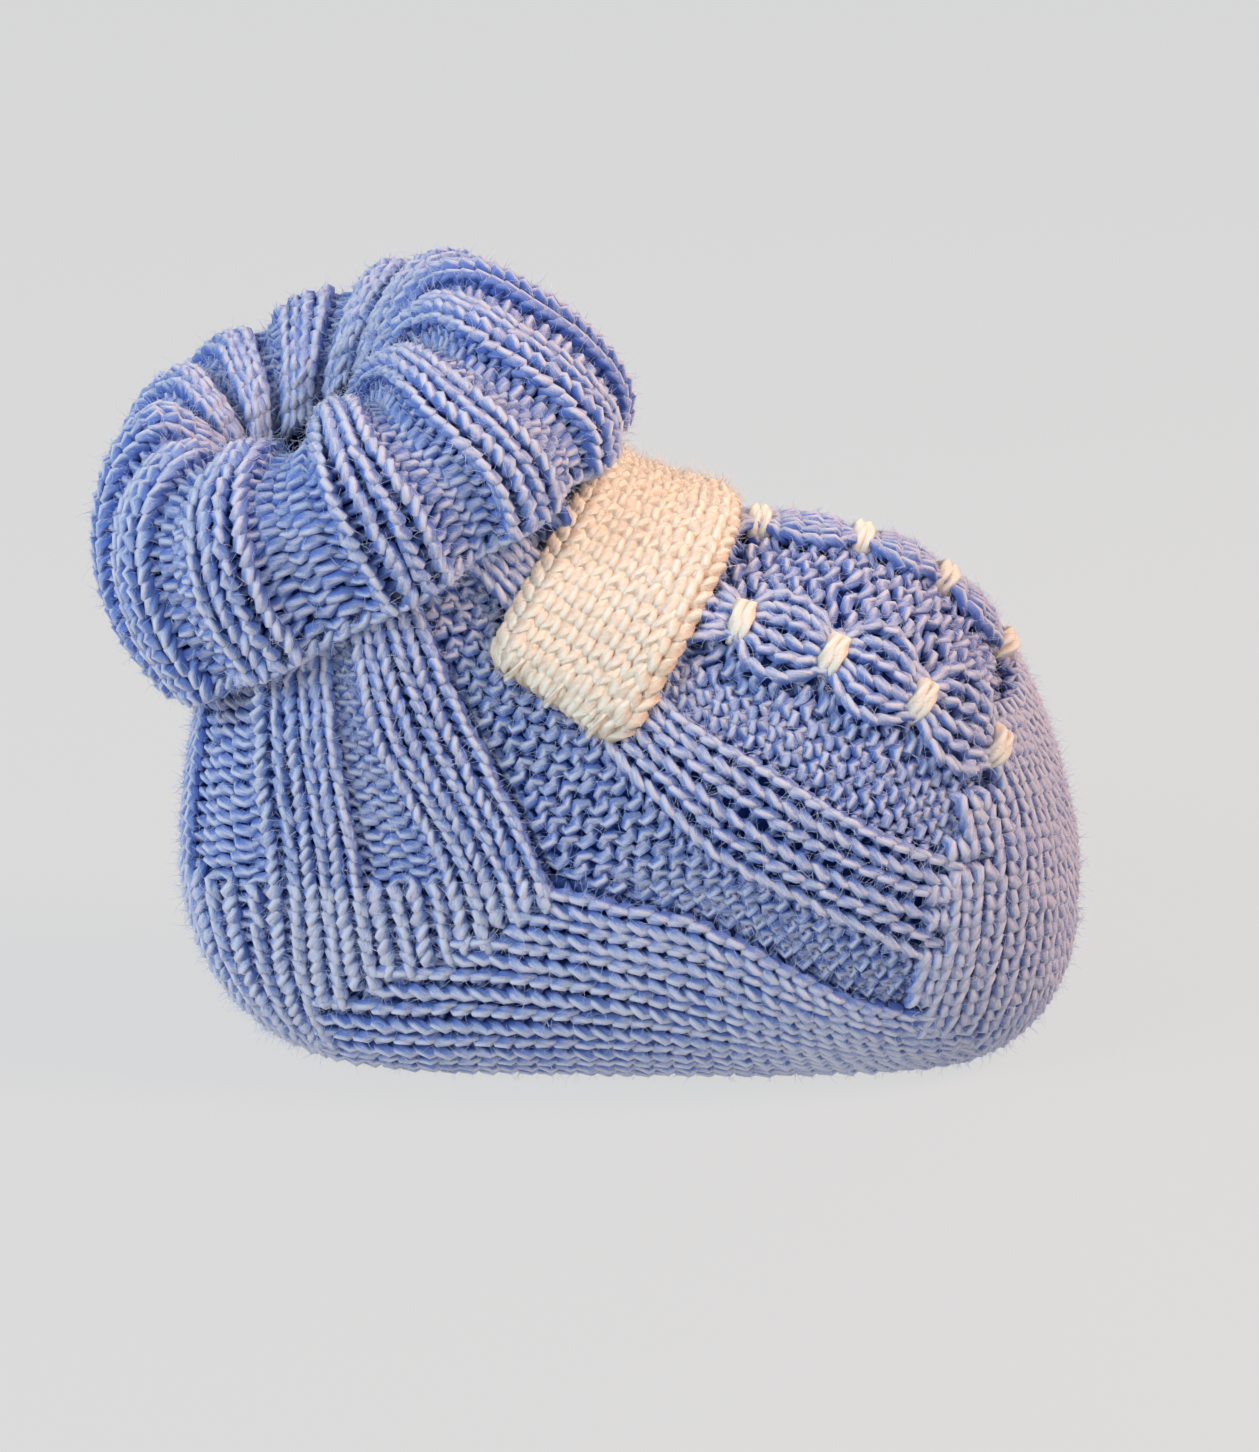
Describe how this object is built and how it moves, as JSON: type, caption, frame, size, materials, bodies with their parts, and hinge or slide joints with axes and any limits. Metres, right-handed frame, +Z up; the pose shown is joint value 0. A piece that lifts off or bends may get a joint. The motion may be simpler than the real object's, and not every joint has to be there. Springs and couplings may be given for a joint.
{
  "type": "knitted baby bootie",
  "caption": "Soft hand-knitted baby bootie with a turned-down ribbed cuff, slanting ribs, a smocked top pinched by cream yarn ties, and a cream knitted ankle strap.",
  "frame": {"origin": "on the ground under the middle of the sole", "axes": "+X from heel to toe, +Y to the left, +Z up out of the ankle"},
  "size_m": [0.1205, 0.0595, 0.097],
  "materials": {
    "blue_yarn": "soft plied yarn, matt with a light fuzz",
    "cream_yarn": "soft plied yarn, matt with a light fuzz"
  },
  "bodies": {
    "root": {"cuff_turn_down": "blue_yarn", "cuff_inner": "blue_yarn", "cast_off_edge": "blue_yarn", "leg_ribbing": "blue_yarn", "heel_cup": "blue_yarn", "foot_sole": "blue_yarn", "instep_ribbing_left": "blue_yarn", "instep_ribbing_right": "blue_yarn", "smocked_vamp": "blue_yarn", "toe_cap": "blue_yarn", "ankle_strap": "cream_yarn", "strap_stitches_left": "cream_yarn", "strap_stitches_right": "cream_yarn", "smocking_ties_left": "cream_yarn", "smocking_ties_centre": "cream_yarn", "smocking_ties_right": "cream_yarn"}
  },
  "joints": []
}
